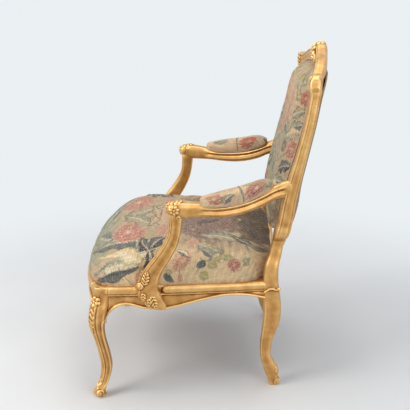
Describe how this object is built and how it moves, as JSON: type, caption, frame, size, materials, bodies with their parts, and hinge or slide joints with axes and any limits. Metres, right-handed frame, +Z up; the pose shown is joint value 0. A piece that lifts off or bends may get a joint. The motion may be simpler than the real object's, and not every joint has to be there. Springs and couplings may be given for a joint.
{
  "type": "fauteuil",
  "caption": "Open-armed upholstered armchair with a carved gilt frame, cabriole legs, padded armrests and a floral tapestry seat and back.",
  "frame": {"origin": "on the floor, under the middle of the whole chair", "axes": "+Z up; the chair faces -Y; +X is the sitter's left"},
  "size_m": [0.675, 0.697, 0.966],
  "materials": {
    "gilt_wood": "water-gilt gold leaf over red bole, burnished and rubbed",
    "bare_wood": "bare beech",
    "tapestry": "woven wool tapestry with flowers and leaves",
    "back_linen": "plain woven linen",
    "hessian": "open jute cloth",
    "webbing": "herringbone jute webbing",
    "stuffing": "curled hair under calico",
    "steel_screws": "dull steel"
  },
  "bodies": {
    "root": {"front_leg_left": "gilt_wood", "back_leg_left": "gilt_wood", "side_seat_rail_left": "gilt_wood", "arm_support_left": "gilt_wood", "armrest_left": "gilt_wood", "arm_pad_cover_left": "tapestry", "arm_pad_stuffing_left": "stuffing", "corner_block_front_left": "bare_wood", "corner_block_back_left": "bare_wood", "front_leg_right": "gilt_wood", "back_leg_right": "gilt_wood", "side_seat_rail_right": "gilt_wood", "arm_support_right": "gilt_wood", "armrest_right": "gilt_wood", "arm_pad_cover_right": "tapestry", "arm_pad_stuffing_right": "stuffing", "corner_block_front_right": "bare_wood", "corner_block_back_right": "bare_wood", "front_seat_rail": "gilt_wood", "back_seat_rail": "gilt_wood", "crest_rail": "gilt_wood", "lower_back_rail": "gilt_wood", "joint_pegs": "bare_wood", "corner_block_screws": "steel_screws", "arm_support_screws": "steel_screws", "seat_webbing": "webbing", "seat_hessian": "hessian", "seat_stuffing": "stuffing", "seat_cover": "tapestry", "back_webbing": "webbing", "back_hessian": "hessian", "back_stuffing": "stuffing", "back_cover": "tapestry", "outside_back_cover": "back_linen"}
  },
  "joints": []
}
